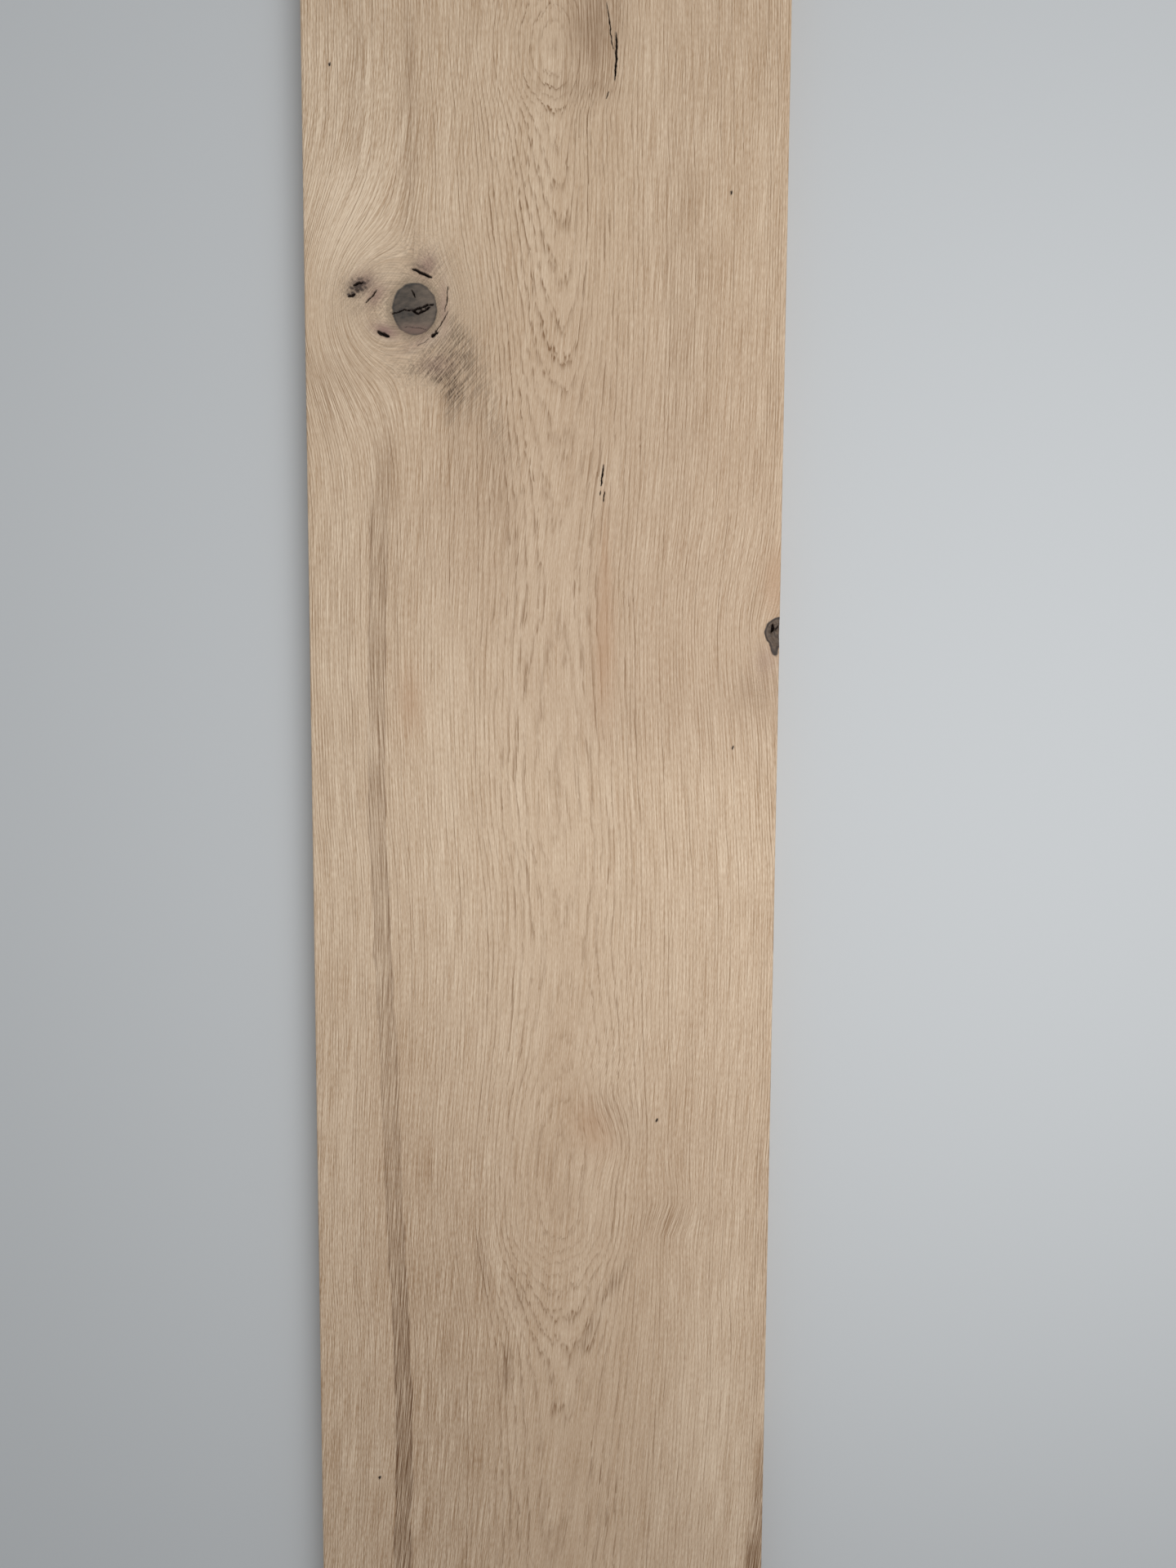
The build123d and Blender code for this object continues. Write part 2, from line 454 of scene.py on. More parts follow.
# Along the board, sideways from its middle line, and below its best face, in mm
PITH = np.array([
    (-1000, 14, 53), (-850, 9, 47), (-700, 12, 52), (-520, 10, 48.5), (-372, 7, 50.2), (-300, 9, 48.9),
    (-262, 10, 47.4), (-237, 9, 44.5), (-224, 8, 42.8), (-212, 8, 39.9), (-203, 8, 37.0), (-193, 8, 35.7),
    (-165, 8, 35.2), (-140, 9, 36.4), (-120, 10, 38.6), (-100, 10, 41), (-60, 10, 43), (-20, 9, 41.6),
    (0, 7, 40.6), (20, 6, 40.6), (70, 5, 41.6), (115, 5, 43.0), (150, 5, 42.4), (203, 5, 38.8),
    (215, 5, 37.2), (252, 5, 34.1), (296, 5, 31), (318, 4, 29.2), (327, 4, 28), (337, 4, 24), (343, 4, 22.4),
    (352, 3, 21.7), (362, 3, 22.6), (375, 3, 26), (430, 4, 33), (560, 8, 38), (750, 12, 32), (1000, 8, 41),
])
PITH_DEPTH = 42.0  # mm, on the whole
BEND_LEFT = 60.0  # mm sideways to the left that a bend is felt
# Along the board, and how far a bend is felt to the right: the upper arches lean on straight grain there
BEND_RIGHT = np.array([(-1000, 60), (120, 60), (190, 18), (325, 16), (400, 40), (1000, 60)])
ROUNDING = (-5, -2.5, 0, 2.5, 5)  # mm, spreads each bend of the pith along the board


def pith_at(y):
    """Sideways place of the pith and its depth below the face, at each place along the board."""
    rounded = [[np.interp(y + step, PITH[:, 0], PITH[:, column]) for step in ROUNDING] for column in (1, 2)]
    return [np.mean(values, axis=0) for values in rounded]


print("pith", round(PITH[:, 2].min(), 1), "to", round(PITH[:, 2].max(), 1), "mm below the face")

# %% [markdown]
# Grain swings aside for a branch. Further out the rings bulge, which pulls the lines to one side; close in
# they part round the knot like water round a stone. Both are written as a map from the board to the
# straight log it would have been without branches, and the rings, pores and fibres are then all read in
# that straight log.

# %% Grain round the knots
class Pull(NamedTuple):
    """A bulge of the rings: where it is, how far it moves the grain, and its reach across, up and down."""

    x: float
    y: float
    shift: float
    across: float
    up: float
    down: float


PULLS = [
    Pull(-92, 240, 20, 20, 34, 32),
    Pull(-34, 250, 5, 18, 40, 24),
    Pull(104, 100, 4, 30, 22, 34),
    Pull(30, -126, 3.5, 9, 9, 11),
    Pull(32, -154, -3.5, 9, 11, 10),
    Pull(62, -182, -2.5, 9, 9, 8),
    Pull(62, -202, 2.5, 9, 8, 9),
    Pull(-40, 640, 14, 40, 60, 50),
    Pull(55, -700, -12, 36, 50, 60),
]
# Knots that the grain parts round: centre, radius and lean of the branch through the thickness
STONES = [(-63.0, 239.5, 17.0, 0.5), (113.0, 93.0, 6.0, 0.0)]
# The fibres run askew to the log's axis: places along the board, and mm sideways for a mm along
LEANS = np.array([
    (-1000, 0.05), (-420, 0.10), (-360, 0.13), (-240, 0.07), (-150, 0.08), (-100, 0.09), (-50, 0.04),
    (20, -0.06), (75, -0.02), (130, 0.10), (200, 0.07), (300, 0.06), (340, 0.09), (375, -0.05), (450, 0.02),
    (1000, 0.05),
])
STATION = 5.0  # mm along the board between the places where the lean is added up
STEEP_CUT = (0.3, 0.95)  # sideways share of a ring's radius, from the flattest cut to the steepest


def straight_log(x, y, z):
    """Sideways place in the log that each place would have had without its branches."""
    moved = x.copy()
    for pull in PULLS:
        reach = np.where(y > pull.y, pull.up, pull.down)
        away = ((x - pull.x) / pull.across) ** 2 + ((y - pull.y) / reach) ** 2
        moved += pull.shift * np.exp(-0.5 * away)
    for centre_x, centre_y, radius, lean in STONES:
        across = x - centre_x - lean * (THICKNESS - z)
        away = np.hypot(across, y - centre_y)
        parted = -across * radius ** 2 / np.maximum(away, radius) ** 2
        moved += np.where(away > radius, parted, radius - away - across)
    return moved


places = np.empty(len(plank_mesh.vertices) * 3)
plank_mesh.vertices.foreach_get("co", places)
x, y, z = places.reshape(-1, 3).T / MM
log_x = straight_log(x, y, z)
pith_x, pith_depth = pith_at(y)
# The pith's bends die away sideways, so the rings run straight near the board's edges
bend_reach = np.where(log_x < pith_x, BEND_LEFT, np.interp(y, BEND_RIGHT[:, 0], BEND_RIGHT[:, 1]))
bends = np.exp(-((log_x - pith_x) / bend_reach) ** 2)
pith_depth = PITH_DEPTH + (pith_depth - PITH_DEPTH) * bends
from_pith = np.hypot(log_x - pith_x, z - THICKNESS + pith_depth)
ring_count = np.interp(from_pith, GROWTH[:, 0], GROWTH[:, 1])
# The saw meets the rings flat over the pith, where this is 1, and steeply near the edges
flat_cut = 1 - smooth_step(*STEEP_CUT, np.abs(log_x - pith_x) / from_pith)
stations = np.arange(-LENGTH / 2, LENGTH / 2 + 1, STATION)
drift = np.cumsum(np.interp(stations, LEANS[:, 0], LEANS[:, 1])) * STATION
fibre_x = log_x - np.interp(y, stations, drift)
print("rings", round(ring_count.min(), 1), "to", round(ring_count.max(), 1))

# %% [markdown]
# ## Marks of this one board
# Some marks are this board's alone: the dark hearts of its knots, bark in the pockets, a grey stain that
# ran from the knot, pale places and a mineral streak. They are painted on the points as an artist would
# with vertex paint. Each is a list of soft dabs that are added up, and the material turns the sums into
# colour.

# %% Dabs of paint
def dab(strength, centre_x, centre_y, across, along, turn=0.0):
    """A soft oval: its strength in its middle, falling to 0 outside; turned clockwise by some degrees."""
    dx, dy = x - centre_x, y - centre_y
    c, s = math.cos(math.radians(turn)), math.sin(math.radians(turn))
    away = ((dx * c - dy * s) / across) ** 2 + ((dx * s + dy * c) / along) ** 2
    return strength * np.exp(-0.5 * away)


def paint(*dabs):
    """The sum of some dabs at each point, placed in mm on the board."""
    return sum(dab(*values) for values in dabs)


print("to be painted:", len(x), "points")

# %% [markdown]
# The hearts come first, as the distance inside a knot's rim. A branch leans as it goes down through the
# board, so the round heart's middle moves with the depth. The knot in the edge shows on the face and on
# the side, so the way down the side is counted together with the way along.

# %% Hearts of the knots
BRANCH_LEAN = (0.5, -0.2)  # mm across and along, for a mm of depth
SIDE_STRETCH = 1.2  # the edge knot is a little shorter down the side
TAIL_LEAN = 0.15  # mm across for a mm along
FAR = 20.0  # mm, past which a distance no longer matters

below = THICKNESS - z
branch = (KNOT[0] + BRANCH_LEAN[0] * below, KNOT[1] + BRANCH_LEAN[1] * below)
heart = inside_heart(x, y, branch, KNOT_HEART).clip(-FAR, FAR)
past_knot = np.hypot(y - EDGE_KNOT[1], SIDE_STRETCH * below) * np.sign(y - EDGE_KNOT[1])
tail_middle = (EDGE_KNOT[0] + EDGE_TAIL[0], EDGE_TAIL[1])
tail = inside_heart(x + TAIL_LEAN * past_knot, past_knot, tail_middle, EDGE_TAIL_REACH)
edge_heart = inside_heart(x, past_knot, (EDGE_KNOT[0], 0.0), EDGE_KNOT_REACH)
edge_heart = np.maximum(edge_heart, tail).clip(-FAR, FAR)
print("inside the hearts:", (heart > 0).sum(), "and", (edge_heart > 0).sum(), "points")

# %% [markdown]
# Close round a knot the fibres dive into the face, so the rings grow faint there, as they do in the middle
# of an oval. A grey collar surrounds the heart, the heart has lighter and darker places, and black smut
# lies in the bark.

# %% Round the knots
SMUT_HUMP = 2.1  # mm between the lumps of smut

dive = paint(
    (1.2, -62, 240, 17, 18), (0.8, -86, 248, 8, 7), (0.7, -56, 212, 14, 7, 10),
    (0.6, -58, 262, 8, 9), (0.5, 106, 108, 4, 10), (0.5, 102, 70, 8, 12),
).clip(0, 1)
faint = 0.75 * dive + paint(
    (0.4, 3, 352, 11, 15), (0.3, 8, -160, 11, 26), (0.3, 8, -206, 26, 18), (0.4, 10, -85, 18, 50),
)
ash = 0.1 + 0.3 * smooth_step(0.3, 1.3, heart) + paint(
    (0.4, -59.2, 230.8, 6, 2), (0.3, -52.7, 244.8, 3, 4), (0.25, -53.7, 235.8, 3, 3),
    (-0.25, -63.7, 235.8, 6, 2), (-0.15, -64.7, 243.8, 4, 4),
)
collar = 0.5 * smooth_step(-4, -0.5, heart) + paint((0.25, -62, 240, 20, 17))
smut = paint(
    (0.75, -84.4, 248.8, 3.8, 1.9, -25), (0.5, -85.5, 249.9, 2.5, 0.9, -10),
    (0.9, -88.3, 244.9, 1.9, 0.8, 10), (0.8, -85.5, 247.6, 2.4, 1.3), (0.5, -88, 251.8, 0.5, 0.35),
    (0.6, -84.3, 251.9, 0.8, 0.35), (0.5, -57, 257.5, 3, 0.8, 20),
)
smut *= 0.8 + 0.5 * ripple(x, y, SMUT_HUMP)
# Real smut in the bark joins the painted shade of the splits in one mark
bark_and_split_shade = np.maximum(bark_and_split_shade, smut.clip(0, 0.9) * (z > THICKNESS - FACE_DEPTH))
rust = paint((0.8, -59, 229.5, 5.5, 1.8)) * (heart > 0)
print("dark with bark:", (bark_and_split_shade > 0.5).sum(), "points")

# %% [markdown]
# A stain runs down from the knot and thins out below the face. A reddish halo borders the bark, and here
# and there the wood is warmer or paler than the rest.

# %% Stains and pale places
STAIN_BELOW = 0.2  # share of the stain that is left deep in the board
STAINED_HEIGHT = (6, 18)  # mm above the underside, from there up to the full stain

near_face = STAIN_BELOW + (1 - STAIN_BELOW) * smooth_step(*STAINED_HEIGHT, z)
stain = near_face * paint(
    (0.85, -41, 213, 8, 11, -35), (0.8, -43.6, 204.4, 2.8, 9, -37), (0.5, -43.5, 193, 2, 5),
    (0.5, -57, 211, 7, 3), (0.35, -22, 186, 3, 13, -19), (0.5, -39, 228, 2.5, 6, -30),
    (0.3, -52, 258, 6, 6, 25), (0.35, -62, 238, 17, 17), (0.35, -86, 247, 8, 7),
)
halo = near_face * paint(
    (0.9, -73, 229, 4.2, 2.0, 20), (0.6, -54, 258, 3, 4, 20), (0.6, -83, 250.5, 4, 3, -20),
    (0.6, -77, 244.5, 2.2, 4, 40), (0.3, -57, 224, 8, 2, -25), (0.45, -46.2, 240, 1.5, 8),
    (0.3, -50, 214, 5, 3), (0.3, 104, 80, 4, 5),
)
warm = paint(
    (0.4, 107, 117, 4, 11), (0.5, 28, 85, 3, 22), (0.35, 28, 125, 1.2, 16), (0.4, -63, 60, 4, 12),
    (0.4, 24, -146, 10, 6, 60),
)
pale = paint(
    (0.4, -92, 280, 14, 16), (0.3, -72.5, 238, 3, 9), (0.3, -50, 226.5, 5, 2, -35),
    (0.3, -19, -225, 1.5, 26, -17), (0.25, 29, -240, 1.5, 16, 27), (0.3, 85, -290, 16, 60),
    (0.25, -92, 60, 9, 90), (0.25, -93, 325, 16, 40), (0.2, -96, -240, 12, 110), (0.3, 98, -355, 2.5, 40, 6),
)
print("stained:", (stain > 0.1).sum(), "points; pale:", (pale > 0.1).sum())

# %% [markdown]
# The mineral streak has a middle line that is listed, and each point keeps its distance from that
# line. The lower right corner has a slanting dark strip. Umber strokes are short and dark. The brown
# places are wide and weak, and the same mark holds painted shade towards the -y end and over a band
# right of the middle. Last come the places where the vessels are deep, and those where the fibres are
# coarse.

# %% Streak and dark places
# The streak's middle line: along the board, and across
VEIN = np.array([
    (-900, -74), (-600, -76), (-450, -72), (-350, -69.5), (-300, -68.3), (-250, -69.5), (-200, -72),
    (-150, -73.5), (-100, -75), (-50, -77.5), (0, -79), (60, -79), (110, -77.5), (160, -76), (195, -74.5),
    (225, -69),
])
vein = (x - np.interp(y, VEIN[:, 0], VEIN[:, 1])).clip(-FAR, FAR)
mineral = smooth_step(228, 120, y) * smooth_step(-900, -420, y) * (0.55 + 0.5 * smooth_step(-150, -300, y))
strip = smooth_step(-0.5, 1.5, x - RIGHT_EDGE + 1.5 + 0.1 * (-300 - y))
strip = strip * smooth_step(-290, -345, y) * smooth_step(-560, -420, y)
umber = 0.75 * strip + paint(
    (0.2, 62, -192, 12, 6), (0.15, 38, -142, 9, 8), (0.2, 27, -138, 8, 7), (0.75, 36, -223, 1.3, 9, 35),
    (0.6, 22, -252, 1.3, 7, 25), (0.5, -12, -230, 1.3, 5, -25), (0.45, -30, -214, 1.4, 10, -10),
    (0.8, -18, -268, 1.5, 7), (0.55, 22, 363, 8, 16), (0.3, 14, 335, 12, 4), (0.2, -85, 350, 3, 34),
    (0.28, -61, 320, 3, 42), (0.3, -98, 205, 10, 14), (0.16, -48, -280, 20, 90), (0.12, -98, 90, 12, 60),
    (0.14, -70, 135, 2.5, 60), (0.2, -80.5, 150, 0.8, 45), (0.25, -40, 180, 3, 20, -8),
    (0.25, -24, 165, 4, 30, -12), (0.16, 62, 240, 8, 60), (0.3, 100, 66, 9, 8),
)
# Painted shade towards the -y end; the top dab is a brown place in the wood, the wide dab only darkens
brown_and_shade = 0.14 * smooth_step(20, -200, y) + paint((0.15, 20, 364, 8, 16), (0.13, -45, 140, 22, 36))
# Painted shade over a band right of the middle, from about 40 to 230 mm along
brown_and_shade += 0.15 * smooth_step(15, 60, y) * smooth_step(290, 180, y) * smooth_step(-70, 40, x)
# A faint darkening at the upper right
brown_and_shade += 0.06 * smooth_step(200, 280, y) * smooth_step(20, 60, x)
deep = paint(
    (0.8, 35, -226, 3, 11, 35), (0.7, 22, -252, 2.5, 10, 25), (0.6, -12, -229, 3, 7, -30),
    (0.6, -30, -212, 3, 14, -12), (1.0, -18, -268, 2.5, 9), (0.9, 2, 290, 5, 36), (0.9, -12, 268, 18, 55),
    (0.8, 2, 224, 5, 14), (0.7, 30, -148, 12, 7, 60),
)
comb = 1 + 0.3 * smooth_step(-40, -220, y) * smooth_step(40, -40, x) + paint((0.4, -90, 310, 22, 50))
print("streak from", VEIN[0, 0], "to", VEIN[-1, 0], "mm along")

# %% [markdown]
# A mesh can keep named values on its points, called attributes, and a material can read them by name. So
# each mark becomes one attribute, and the place in the straight log becomes another, which the patterns
# are read in.

# %% Points keep their marks
MARKS = {
    "ring_count": ring_count, "flat_cut": flat_cut, "vein": vein, "heart": heart, "edge_heart": edge_heart,
    "dive": dive, "faint": faint.clip(0, 0.8), "bark_and_split_shade": bark_and_split_shade, "ash": ash, "collar": collar,
    "rust": rust.clip(0, 1), "stain": stain.clip(0, 1), "halo": halo.clip(0, 1), "warm": warm.clip(0, 1),
    "pale": pale.clip(0, 1), "mineral": mineral.clip(0, 1), "umber": umber.clip(0, 1), "brown_and_shade": brown_and_shade,
    "deep": deep.clip(0, 1), "comb": comb,
}
for name, values in MARKS.items():
    layer = plank_mesh.attributes.new(name, "FLOAT", "POINT")
    layer.data.foreach_set("value", values.astype(np.float32))
place_layer = plank_mesh.attributes.new("log_place", "FLOAT_VECTOR", "POINT")
place_layer.data.foreach_set("vector", np.column_stack([fibre_x, y, z]).astype(np.float32).ravel())
print(", ".join(MARKS))

# %% [markdown]
# ## Brushed oak
# Oak is ring porous: each spring it grows a row of wide vessels, which the saw opens as fine dark dashes,
# and each summer a band of dense pale wood. Brushed and left without a finish it is matt and sandy. Such a
# wood could be drawn with one stretched noise, but then nothing in it would line up. Here every pattern is
# read in the straight log, and each is as large as the thing that it stands for. The first cell fetches
# the values that the points keep.

# %% Values from the points
oak = bpy.data.materials.new("brushed oak")
oak.use_nodes = True
wood = oak.node_tree
shader = wood.nodes["Principled BSDF"]
shader.inputs["IOR"].default_value = 1.5
painted = {}
for name in MARKS:
    painted[name] = add_node(wood, "ShaderNodeAttribute", attribute_name=name).outputs["Fac"]
log_place = add_node(wood, "ShaderNodeAttribute", attribute_name="log_place").outputs["Vector"]
on_board = add_node(wood, "ShaderNodeTexCoord")
print(len(painted), "values from the points")

# %% [markdown]
# Two kinds of pattern are enough for the wood. A noise has soft lumps, and serves for what changes gently:
# the wander of the rings, the fibres and the broad clouds of tone. Cells have hard ends, and serve for
# vessels and strands: each cell is one bundle, much longer than it is wide, with a value of its own. Both
# are given the size of one lump or one bundle in millimetres.

# %% Patterns in the log
# Across, along and through the log in mm, and how many finer copies are laid over each
LUMPS = {
    "swing": (16, 60, 16, 2), "jog": (4, 16, 4, 2), "fade": (2.4, 30, 2.4, 1),
    "line": (0.4, 30, 0.4, 1), "fibre": (0.4, 3, 0.4, 1),
    "band": (6, 120, 6, 1), "sheaf": (16, 280, 16, 1), "cloud": (50, 170, 50, 1),
    "speck": (0.5, 0.9, 0.5, 1), "smear": (3, 3, 3, 3),
}
BUNDLES = {"vessel": (0.6, 18, 0.6), "strand": (1.0, 14, 1.0)}
pattern = {}
for name, (across, along, through, copies) in LUMPS.items():
    stretched = add_node(wood, "ShaderNodeMapping", {
        "Vector": log_place, "Scale": (across, along, through),
    }, vector_type="TEXTURE")
    pattern[name] = add_node(wood, "ShaderNodeTexNoise", {
        "Vector": stretched.outputs[0], "Scale": 1.0, "Detail": copies,
    }).outputs["Fac"]
for name, size in BUNDLES.items():
    stretched = add_node(wood, "ShaderNodeMapping", {
        "Vector": log_place, "Scale": size,
    }, vector_type="TEXTURE")
    pattern[name] = add_node(wood, "ShaderNodeTexVoronoi", {
        "Vector": stretched.outputs[0], "Scale": 1.0,
    }).outputs["Color"]
print(len(pattern), "patterns")

# %% [markdown]
# The rings come first. Their count is nudged by the soft lumps, so that no line is ruler straight, and by
# each strand on its own, which breaks the tips of the arches into steps. The share of a year then gives
# the spring wood, dark at the year's start and gone by its middle. Some years were harder than others, so
# each ring has its own strength.

# %% Rings
NUDGES = {"swing": 1.3, "jog": 0.4}  # rings
STRAND_NUDGE = 0.55  # rings, where the saw ran flat
# Share of a year, and how much spring wood there is then
YEAR = ((0.0, 0.5), (0.05, 1.0), (0.16, 0.6), (0.3, 0.2), (0.55, 0.05), (0.92, 0.0), (1.0, 0.5))
THINNING = 0.35  # how much a dark line gains in sharpness where the saw ran flat

ring_phase = add_node(wood, "ShaderNodeMath", {
    0: painted["flat_cut"], 1: STRAND_NUDGE,
}, operation="MULTIPLY").outputs[0]
ring_phase = add_node(wood, "ShaderNodeMath", {
    0: ring_phase, 1: pattern["strand"], 2: painted["ring_count"],
}, operation="MULTIPLY_ADD").outputs[0]
for name, rings in NUDGES.items():
    ring_phase = add_node(wood, "ShaderNodeMath", {
        0: pattern[name], 1: rings, 2: ring_phase,
    }, operation="MULTIPLY_ADD").outputs[0]
year_number = add_node(wood, "ShaderNodeMath", {0: ring_phase}, operation="FLOOR").outputs[0]
year_share = add_node(wood, "ShaderNodeMath", {0: ring_phase}, operation="FRACT").outputs[0]
year = add_node(wood, "ShaderNodeValToRGB", {"Fac": year_share})
stops = year.color_ramp.elements
stops[0].position, stops[1].position = YEAR[0][0], YEAR[-1][0]
for share, level in YEAR[1:-1]:
    stops.new(share)
for stop, (share, level) in zip(stops, YEAR):
    stop.color = (level, level, level, 1)
luck = add_node(wood, "ShaderNodeTexWhiteNoise", {"W": year_number}, noise_dimensions="1D").outputs["Value"]
strength = add_node(wood, "ShaderNodeMapRange", {"Value": luck, "To Min": 0.35}).outputs[0]
fading = add_node(wood, "ShaderNodeMapRange", {
    "Value": pattern["fade"], "From Min": 0.36, "From Max": 0.6, "To Min": 0.5,
}).outputs[0]
# The flatter the cut, the wider a year lies on the face, and the thinner its dark line is in it
thinness = add_node(wood, "ShaderNodeMath", {
    0: painted["flat_cut"], 1: THINNING, 2: 1.0,
}, operation="MULTIPLY_ADD").outputs[0]
spring_wood = add_node(wood, "ShaderNodeMath", {
    0: year.outputs["Color"], 1: thinness,
}, operation="POWER").outputs[0]
clear = add_node(wood, "ShaderNodeMath", {0: 1.0, 1: painted["faint"]}, operation="SUBTRACT").outputs[0]
for share in (strength, fading, clear):
    spring_wood = add_node(wood, "ShaderNodeMath", {
        0: spring_wood, 1: share,
    }, operation="MULTIPLY").outputs[0]
print("spring wood in", len(YEAR), "steps")

# %% [markdown]
# The saw opens the vessels in the spring wood. Each bundle of them is open to its own degree, so the dark
# line of a ring breaks into dashes. Where the saw ran flat over the pith it opens more of each vessel, so
# the dashes are darker.

# %% Vessels
SPREAD = (1.0, 1.35)  # how dark spring wood gets where the saw ran steep, and where it ran flat
DEEP = 0.7  # how much darker it is where the brush dug in

closed = add_node(wood, "ShaderNodeMapRange", {
    "Value": painted["flat_cut"], "To Min": 0.55, "To Max": 0.45,
}).outputs[0]
openness = add_node(wood, "ShaderNodeMapRange", {
    "Value": pattern["vessel"], "From Min": 0.25, "From Max": 0.75, "To Min": closed, "To Max": 1.0,
}).outputs[0]
spread = add_node(wood, "ShaderNodeMapRange", {
    "Value": painted["flat_cut"], "To Min": SPREAD[0], "To Max": SPREAD[1],
}).outputs[0]
spread = add_node(wood, "ShaderNodeMath", {
    0: painted["deep"], 1: DEEP, 2: spread,
}, operation="MULTIPLY_ADD").outputs[0]
vessels = spring_wood
for share in (openness, spread):
    vessels = add_node(wood, "ShaderNodeMath", {0: vessels, 1: share}, operation="MULTIPLY").outputs[0]
print("vessels", BUNDLES["vessel"][0], "mm wide")

# %% [markdown]
# Between the rings the fibres differ in tone, from threads half a millimetre wide up to clouds as wide as
# a hand. The threads show more near the board's edges, where the saw met the rings steeply, and less round
# a knot. Dark fibres are also browner, so the tone chooses a colour between two, and the vessels are laid
# over it.

# %% Clear wood
FINE_TONES = {"fibre": 1.0, "line": 1.5}  # share of the way from dark fibres to pale ones
BROAD_TONES = {"strand": 0.05, "band": 0.22, "sheaf": 0.22, "cloud": 0.25}
PALE_LIFT = 0.7  # share that the palest places gain
PALE_FIBRE = linear("edd6ba")
DARK_FIBRE = linear("b1906e")
VESSEL = linear("8d6c4c")

whole = add_node(wood, "ShaderNodeMapRange", {
    "Value": painted["dive"], "To Min": 1.0, "To Max": 0.25,
}).outputs[0]
fineness = add_node(wood, "ShaderNodeMapRange", {
    "Value": painted["flat_cut"], "To Min": 1.0, "To Max": 0.7,
}).outputs[0]
fineness = add_node(wood, "ShaderNodeMath", {0: fineness, 1: whole}, operation="MULTIPLY").outputs[0]
fineness = add_node(wood, "ShaderNodeMath", {
    0: fineness, 1: painted["comb"],
}, operation="MULTIPLY").outputs[0]
fine_tone = -sum(FINE_TONES.values()) / 2
for name, share in FINE_TONES.items():
    fine_tone = add_node(wood, "ShaderNodeMath", {
        0: pattern[name], 1: share, 2: fine_tone,
    }, operation="MULTIPLY_ADD").outputs[0]
tone = add_node(wood, "ShaderNodeMath", {
    0: fine_tone, 1: fineness, 2: 0.5 - sum(BROAD_TONES.values()) / 2,
}, operation="MULTIPLY_ADD").outputs[0]
for name, share in BROAD_TONES.items():
    tone = add_node(wood, "ShaderNodeMath", {
        0: pattern[name], 1: share, 2: tone,
    }, operation="MULTIPLY_ADD").outputs[0]
tone = add_node(wood, "ShaderNodeMath", {
    0: painted["pale"], 1: PALE_LIFT, 2: tone,
}, operation="MULTIPLY_ADD").outputs[0]
colour = DARK_FIBRE
for share, over in ((tone, PALE_FIBRE), (vessels, VESSEL)):
    colour = add_node(wood, "ShaderNodeMix", {0: share, 6: colour, 7: over}, data_type="RGBA").outputs[2]
print(len(FINE_TONES) + len(BROAD_TONES), "sizes of fibre")

# %% [markdown]
# The mineral streak is wood that drew salts from the ground. It is a brown wash with four darker lines in
# it, laid by a ramp across its middle line, and the lines of the fibres break it up. The stain beside the
# knot is crossed by rays, which run askew to the grain both ways and stay paler.

# %% Streak and stains
STREAK_REACH = 4.6  # mm to either side of its middle line
# Share of the way across it, and how dark the streak is there
STREAK = (
    (0.0, 0.0), (0.1, 0.95), (0.2, 0.45), (0.36, 0.7), (0.48, 0.45), (0.62, 0.75), (0.74, 0.45), (0.88, 0.9),
    (1.0, 0.0),
)
STREAK_WOBBLE = 3.0  # mm
# Rays that cross the stain: their turn in degrees, width and length in mm, and how pale the stain is in them
RAYS = ((-40, 0.7, 10, 0.3), (25, 0.5, 5, 0.6))

wobble = add_node(wood, "ShaderNodeMath", {
    0: pattern["jog"], 1: STREAK_WOBBLE, 2: painted["vein"],
}, operation="MULTIPLY_ADD").outputs[0]
through = add_node(wood, "ShaderNodeMapRange", {
    "Value": wobble,
    "From Min": STREAK_WOBBLE / 2 - STREAK_REACH, "From Max": STREAK_WOBBLE / 2 + STREAK_REACH,
}).outputs[0]
ramp = add_node(wood, "ShaderNodeValToRGB", {"Fac": through})
stops = ramp.color_ramp.elements
for share, level in STREAK[1:-1]:
    stops.new(share)
for stop, (share, level) in zip(stops, STREAK):
    stop.color = (level, level, level, 1)
lines = add_node(wood, "ShaderNodeMapRange", {
    "Value": pattern["line"], "From Min": 0.38, "From Max": 0.62, "To Min": 1.2, "To Max": 0.2,
}).outputs[0]
streak = add_node(wood, "ShaderNodeMath", {
    0: ramp.outputs["Color"], 1: painted["mineral"],
}, operation="MULTIPLY").outputs[0]
washed = []
for share in (streak, painted["umber"]):
    washed.append(add_node(wood, "ShaderNodeMath", {0: share, 1: lines}, operation="MULTIPLY").outputs[0])
streak_share, umber_share = washed

stain_share = painted["stain"]
for turn, width, length, level in RAYS:
    askew = add_node(wood, "ShaderNodeMapping", {
        "Vector": on_board.outputs["Object"], "Rotation": (0, 0, math.radians(turn)),
        "Scale": (width * MM, length * MM, length * MM),
    }, vector_type="TEXTURE")
    rays = add_node(wood, "ShaderNodeTexNoise", {"Vector": askew.outputs[0], "Scale": 1.0, "Detail": 1.0})
    off_ray = add_node(wood, "ShaderNodeMapRange", {
        "Value": rays.outputs["Fac"], "From Min": 0.4, "From Max": 0.58, "To Min": level,
    }).outputs[0]
    stain_share = add_node(wood, "ShaderNodeMath", {
        0: stain_share, 1: off_ray,
    }, operation="MULTIPLY").outputs[0]
# The first wash is brown places in the wood and painted shade, in one brown
washes = (
    (painted["brown_and_shade"], "7a5033"), (streak_share, "5e3913"), (umber_share, "6e4925"),
    (painted["collar"], "93806a"), (stain_share, "5c4835"), (painted["halo"], "8f6f66"),
    (painted["warm"], "b58a66"),
)
for share, over in washes:
    colour = add_node(wood, "ShaderNodeMix", {
        0: share, 6: colour, 7: linear(over),
    }, data_type="RGBA").outputs[2]
print(len(washes), "washes")

